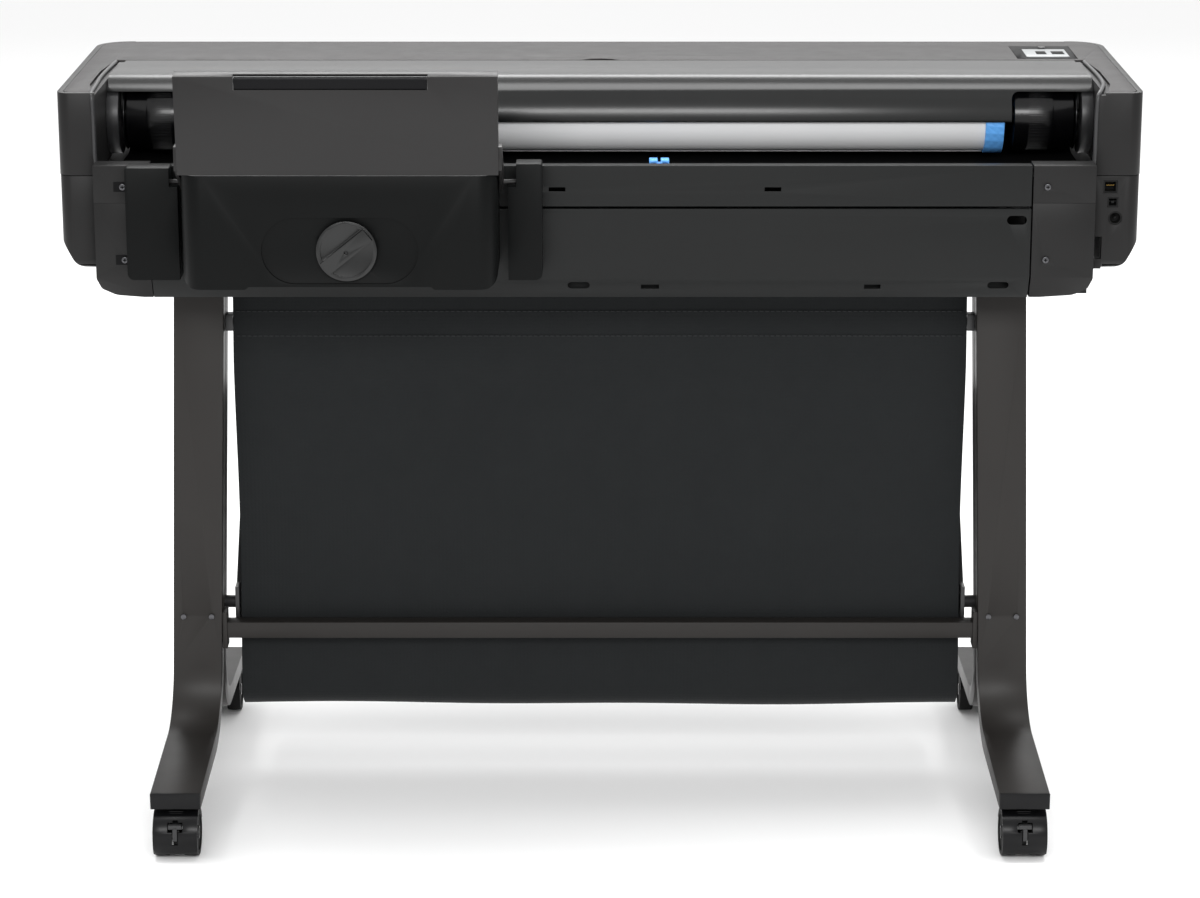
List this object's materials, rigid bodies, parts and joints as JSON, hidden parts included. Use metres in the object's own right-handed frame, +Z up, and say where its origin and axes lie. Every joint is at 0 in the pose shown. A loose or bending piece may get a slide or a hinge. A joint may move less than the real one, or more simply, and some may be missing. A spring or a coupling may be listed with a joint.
{
  "type": "large format plotter",
  "caption": "Wide desktop-height inkjet plotter on a wheeled stand, with a covered paper roll, rear sheet feeder, control panel and cloth catch bin.",
  "frame": {"origin": "on the floor at the middle of the stand, below the middle of the whole object", "axes": "+Z up, +X to the operator's left as they face the front, +Y towards the operator; the roll, rear panels and sheet feeder face -Y"},
  "size_m": [1.317, 0.605, 0.981],
  "materials": {
    "shell": "fine satin grain, warm black",
    "lid": "satin grey lid",
    "gloss_black": "polished",
    "cover_gloss": "semi-gloss dark grey",
    "panel_steel": "powder coated, satin",
    "stand_paint": "powder coated, satin",
    "feeder_black": "fine satin grain",
    "blue": "knurled blue",
    "paper": "uncoated white paper",
    "rubber": "matte",
    "wheel_plastic": "satin black",
    "cloth": "black woven nylon",
    "steel": "ground rod",
    "screw_steel": "blackened",
    "window": "smoked",
    "bay_black": "flat black",
    "board": "board and grey supply case",
    "ink": "four ink cartridge shells",
    "socket": "black sockets"
  },
  "bodies": {
    "frame": {"base_tray": "panel_steel", "bin_arms": "wheel_plastic", "bin_rods": "stand_paint", "carriage_motor": "steel", "carriage_rail": "steel", "catch_bin": "cloth", "control_bezel": "gloss_black", "crossbar": "stand_paint", "drive_belt": "rubber", "electronics": "board", "end_lower_left": "shell", "end_lower_right": "shell", "end_upper_left": "shell", "end_upper_right": "shell", "feeder_box": "feeder_black", "feeder_brackets": "feeder_black", "foot_caps": "wheel_plastic", "front_cover": "shell", "front_header": "shell", "ink_cartridges": "ink", "leg_left": "stand_paint", "leg_right": "stand_paint", "output_chute": "shell", "port_sockets": "socket", "print_platen": "bay_black", "rear_lower_panel": "panel_steel", "rear_strip_left": "shell", "rear_strip_right": "shell", "rear_upper_panel": "panel_steel", "roll_bay": "bay_black", "roll_guide": "blue", "screws": "screw_steel", "service_station": "bay_black", "spindle_cradles": "shell", "stand_brackets": "stand_paint", "top_plate": "lid"},
    "spindle": {"spindle_shaft": "gloss_black", "spindle_hubs": "gloss_black", "paper_roll": "paper", "roll_end_stops": "blue"},
    "roll_cover": {"roll_cover": "cover_gloss"},
    "feeder_tray": {"feeder_tray": "feeder_black"},
    "tray_extension": {"tray_extension": "gloss_black"},
    "feeder_knob": {"feeder_knob": "feeder_black"},
    "pick_roller": {"pick_roller": "rubber"},
    "front_window": {"front_window": "window"},
    "ink_door": {"ink_door": "shell"},
    "carriage": {"carriage": "gloss_black"},
    "feed_roller": {"feed_roller": "rubber"},
    "power_button": {"power_button": "gloss_black"},
    "caster_fork_rear_left": {"caster_fork_rear_left": "wheel_plastic"},
    "caster_wheels_rear_left": {"caster_wheels_rear_left": "wheel_plastic"},
    "caster_pedal_rear_left": {"caster_pedal_rear_left": "wheel_plastic"},
    "caster_fork_front_left": {"caster_fork_front_left": "wheel_plastic"},
    "caster_wheels_front_left": {"caster_wheels_front_left": "wheel_plastic"},
    "caster_fork_rear_right": {"caster_fork_rear_right": "wheel_plastic"},
    "caster_wheels_rear_right": {"caster_wheels_rear_right": "wheel_plastic"},
    "caster_pedal_rear_right": {"caster_pedal_rear_right": "wheel_plastic"},
    "caster_fork_front_right": {"caster_fork_front_right": "wheel_plastic"},
    "caster_wheels_front_right": {"caster_wheels_front_right": "wheel_plastic"}
  },
  "joints": [
    {"name": "spindle_turn", "type": "hinge", "parent": "frame", "child": "spindle", "pos_m": [0, 0, 0.88], "axis": [1, 0, 0], "continuous": true},
    {"name": "roll_cover_open", "type": "hinge", "parent": "frame", "child": "roll_cover", "pos_m": [0, 0.1025, 0.9268], "axis": [-1, 0, 0], "range_deg": [0, 80]},
    {"name": "feeder_tray_lift", "type": "hinge", "parent": "frame", "child": "feeder_tray", "pos_m": [-0.309, -0.2, 0.834], "axis": [-1, 0, 0], "range_deg": [0, 25]},
    {"name": "tray_extension_slide", "type": "slide", "parent": "feeder_tray", "child": "tray_extension", "axis": [0, -0.1478, 0.989], "range_m": [0, 0.075]},
    {"name": "feeder_knob_turn", "type": "hinge", "parent": "frame", "child": "feeder_knob", "pos_m": [-0.3, -0.285, 0.767], "axis": [0, -1, 0], "continuous": true},
    {"name": "pick_roller_turn", "type": "hinge", "parent": "frame", "child": "pick_roller", "pos_m": [-0.309, -0.228, 0.82], "axis": [1, 0, 0], "continuous": true},
    {"name": "front_window_lift", "type": "hinge", "parent": "frame", "child": "front_window", "pos_m": [0, 0.2629, 0.8998], "axis": [1, 0, 0], "range_deg": [0, 75]},
    {"name": "ink_door_open", "type": "hinge", "parent": "frame", "child": "ink_door", "pos_m": [0.5255, 0.264, 0.6985], "axis": [-1, 0, 0], "range_deg": [0, 95]},
    {"name": "carriage_travel", "type": "slide", "parent": "frame", "child": "carriage", "axis": [1, 0, 0], "range_m": [-0.95, 0.1]},
    {"name": "feed_roller_turn", "type": "hinge", "parent": "frame", "child": "feed_roller", "pos_m": [0, 0.088, 0.799], "axis": [1, 0, 0], "continuous": true},
    {"name": "power_button_press", "type": "slide", "parent": "frame", "child": "power_button", "axis": [0, 0, -1], "range_m": [0, 0.0015], "stiffness_N_per_m": 250},
    {"name": "caster_swivel_rear_left", "type": "hinge", "parent": "frame", "child": "caster_fork_rear_left", "pos_m": [-0.524, -0.254, 0.05], "axis": [0, 0, 1], "continuous": true},
    {"name": "caster_roll_rear_left", "type": "hinge", "parent": "caster_fork_rear_left", "child": "caster_wheels_rear_left", "pos_m": [-0.524, -0.2714, 0.0285], "axis": [1, 0, 0], "continuous": true},
    {"name": "caster_brake_rear_left", "type": "hinge", "parent": "caster_fork_rear_left", "child": "caster_pedal_rear_left", "pos_m": [-0.524, -0.2794, 0.0445], "axis": [1, 0, 0], "range_deg": [0, 8]},
    {"name": "caster_swivel_front_left", "type": "hinge", "parent": "frame", "child": "caster_fork_front_left", "pos_m": [-0.524, 0.254, 0.05], "axis": [0, 0, 1], "continuous": true},
    {"name": "caster_roll_front_left", "type": "hinge", "parent": "caster_fork_front_left", "child": "caster_wheels_front_left", "pos_m": [-0.524, 0.2714, 0.0285], "axis": [1, 0, 0], "continuous": true},
    {"name": "caster_swivel_rear_right", "type": "hinge", "parent": "frame", "child": "caster_fork_rear_right", "pos_m": [0.524, -0.254, 0.05], "axis": [0, 0, 1], "continuous": true},
    {"name": "caster_roll_rear_right", "type": "hinge", "parent": "caster_fork_rear_right", "child": "caster_wheels_rear_right", "pos_m": [0.524, -0.2714, 0.0285], "axis": [1, 0, 0], "continuous": true},
    {"name": "caster_brake_rear_right", "type": "hinge", "parent": "caster_fork_rear_right", "child": "caster_pedal_rear_right", "pos_m": [0.524, -0.2794, 0.0445], "axis": [1, 0, 0], "range_deg": [0, 8]},
    {"name": "caster_swivel_front_right", "type": "hinge", "parent": "frame", "child": "caster_fork_front_right", "pos_m": [0.524, 0.254, 0.05], "axis": [0, 0, 1], "continuous": true},
    {"name": "caster_roll_front_right", "type": "hinge", "parent": "caster_fork_front_right", "child": "caster_wheels_front_right", "pos_m": [0.524, 0.2714, 0.0285], "axis": [1, 0, 0], "continuous": true}
  ],
  "couplings": [
    {"joint": "pick_roller_turn", "follows": "feeder_knob_turn", "ratio": 1}
  ]
}
